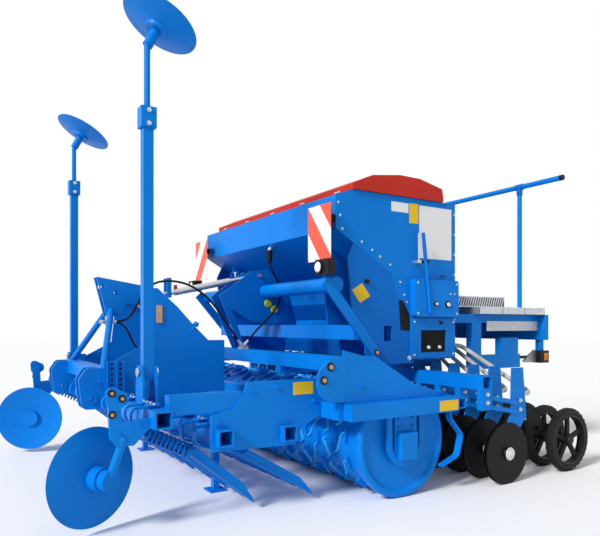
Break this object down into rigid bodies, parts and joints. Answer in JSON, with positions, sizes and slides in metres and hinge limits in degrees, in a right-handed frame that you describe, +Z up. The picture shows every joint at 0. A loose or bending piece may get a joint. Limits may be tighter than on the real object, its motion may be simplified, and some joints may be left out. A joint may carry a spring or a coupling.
{
  "type": "seed drill",
  "caption": "Mounted seed drill with a tined front tool, a tooth roller, a hopper with a lid, disc coulters, press wheels, folding markers and a rear platform.",
  "frame": {"origin": "on the floor under the roller's axle, at the middle of the machine's length and width", "axes": "+X forward to the tractor, +Y to the machine's left, +Z up"},
  "size_m": [3.5081, 2.9124, 2.5106],
  "materials": {
    "blue_paint": "gloss",
    "red_cover": "satin",
    "zinc": "satin",
    "black_steel": "satin",
    "board_white": "satin",
    "black_plastic": "matt",
    "tube_plastic": "satin",
    "tyre_rubber": "matt"
  },
  "bodies": {
    "frame": {"cross_tubes": "blue_paint", "side_plates": "blue_paint", "side_beams": "blue_paint", "tower_plates": "blue_paint", "headstock": "blue_paint", "hitch_brackets": "blue_paint", "tines_front": "blue_paint", "tines_rear": "blue_paint", "disc_arms": "blue_paint", "marker_brackets": "blue_paint", "stand_sockets": "blue_paint", "roller_arms": "blue_paint", "roller_tube": "blue_paint", "gussets": "blue_paint", "drill_beams": "blue_paint", "drill_rails": "blue_paint", "tank_feet": "blue_paint", "tank_struts": "blue_paint", "coupling_plates": "blue_paint", "scraper_bar": "blue_paint", "board_brackets": "black_steel", "warning_boards": "board_white", "lamps": "black_plastic", "seed_tubes": "tube_plastic", "drive_covers": "blue_paint", "top_strut": "zinc", "hopper_shell": "blue_paint", "hopper_ends": "blue_paint", "metering_unit": "blue_paint", "coulter_rail": "blue_paint", "coulter_arms": "blue_paint", "wheel_arms": "black_steel", "platform": "zinc", "platform_frame": "blue_paint", "handrail": "blue_paint", "hose_fittings": "zinc", "hose_upper": "black_plastic", "hose_tank": "black_plastic", "hose_loop": "black_plastic"},
    "roller": {"roller": "blue_paint"},
    "coulter_discs": {"coulter_discs": "black_steel"},
    "press_wheels": {"press_wheels": "tyre_rubber"},
    "front_disc_left": {"front_disc_left": "blue_paint"},
    "front_disc_right": {"front_disc_right": "blue_paint"},
    "marker_arm_left": {"marker_arm_left": "blue_paint"},
    "marker_arm_right": {"marker_arm_right": "blue_paint"},
    "marker_disc_left": {"marker_disc_left": "blue_paint"},
    "marker_disc_right": {"marker_disc_right": "blue_paint"},
    "hopper_lid": {"hopper_lid": "red_cover"},
    "stand_left": {"stand_left": "blue_paint"},
    "stand_right": {"stand_right": "blue_paint"}
  },
  "joints": [
    {"name": "roller_turn", "type": "hinge", "parent": "frame", "child": "roller", "pos_m": [0, 0, 0.3], "axis": [0, 1, 0], "continuous": true},
    {"name": "coulter_discs_turn", "type": "hinge", "parent": "frame", "child": "coulter_discs", "pos_m": [-0.7, 0, 0.18], "axis": [0, 1, 0], "continuous": true},
    {"name": "press_wheels_turn", "type": "hinge", "parent": "frame", "child": "press_wheels", "pos_m": [-1.29, 0, 0.2], "axis": [0, 1, 0], "continuous": true},
    {"name": "front_disc_left_turn", "type": "hinge", "parent": "frame", "child": "front_disc_left", "pos_m": [1.547, 0.985, 0.25], "axis": [-0.3907, 0.9205, 0], "continuous": true},
    {"name": "front_disc_right_turn", "type": "hinge", "parent": "frame", "child": "front_disc_right", "pos_m": [1.547, -0.985, 0.25], "axis": [-0.3907, -0.9205, 0], "continuous": true},
    {"name": "marker_fold_left", "type": "hinge", "parent": "frame", "child": "marker_arm_left", "pos_m": [1.262, 0.869, 0.7], "axis": [-1, 0, 0], "range_deg": [0, 100]},
    {"name": "marker_fold_right", "type": "hinge", "parent": "frame", "child": "marker_arm_right", "pos_m": [1.262, -0.869, 0.7], "axis": [1, 0, 0], "range_deg": [0, 100]},
    {"name": "marker_disc_left_turn", "type": "hinge", "parent": "marker_arm_left", "child": "marker_disc_left", "pos_m": [1.212, 0.869, 2.39], "axis": [0.454, 0, -0.891], "continuous": true},
    {"name": "marker_disc_right_turn", "type": "hinge", "parent": "marker_arm_right", "child": "marker_disc_right", "pos_m": [1.212, -0.869, 2.335], "axis": [0.454, 0, -0.891], "continuous": true},
    {"name": "lid_open", "type": "hinge", "parent": "frame", "child": "hopper_lid", "pos_m": [0.068, 0, 1.732], "axis": [0, 1, 0], "range_deg": [0, 95]},
    {"name": "stand_left_slide", "type": "slide", "parent": "frame", "child": "stand_left", "axis": [0, 0, 1], "range_m": [0, 0.35]},
    {"name": "stand_right_slide", "type": "slide", "parent": "frame", "child": "stand_right", "axis": [0, 0, 1], "range_m": [0, 0.35]}
  ]
}
